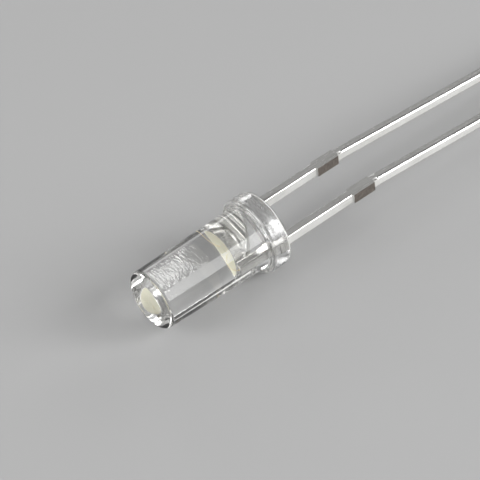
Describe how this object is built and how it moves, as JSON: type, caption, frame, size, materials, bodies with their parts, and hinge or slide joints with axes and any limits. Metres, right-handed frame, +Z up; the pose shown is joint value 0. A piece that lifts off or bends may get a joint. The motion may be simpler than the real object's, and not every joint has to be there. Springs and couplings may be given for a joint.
{
  "type": "through hole led",
  "caption": "Clear flanged lamp body with a dished flat end, a phosphor-filled reflector cup inside and long square leads for a circuit board.",
  "frame": {"origin": "under the middle of the bounding box, on the surface that the lamp lies on", "axes": "+X from the tip towards the ends of the leads, along the lamp; +Y towards the cathode side; +Z up"},
  "size_m": [0.0332, 0.0036, 0.0038],
  "materials": {
    "clear_resin": "water-clear cast epoxy, polished, with faint mould ripples",
    "plated_leads": "stamped steel, silver plated, bare on the sheared tie bar faces",
    "phosphor_fill": "yellow phosphor powder set in soft clear resin",
    "die_crystal": "sapphire chip with metal pads",
    "die_adhesive": "silver-filled adhesive",
    "bond_wire": "fine gold wire"
  },
  "bodies": {
    "root": {"case": "clear_resin", "cathode_lead": "plated_leads", "anode_lead": "plated_leads", "phosphor": "phosphor_fill", "die": "die_crystal", "die_attach": "die_adhesive", "cathode_wire": "bond_wire", "anode_wire": "bond_wire"}
  },
  "joints": []
}
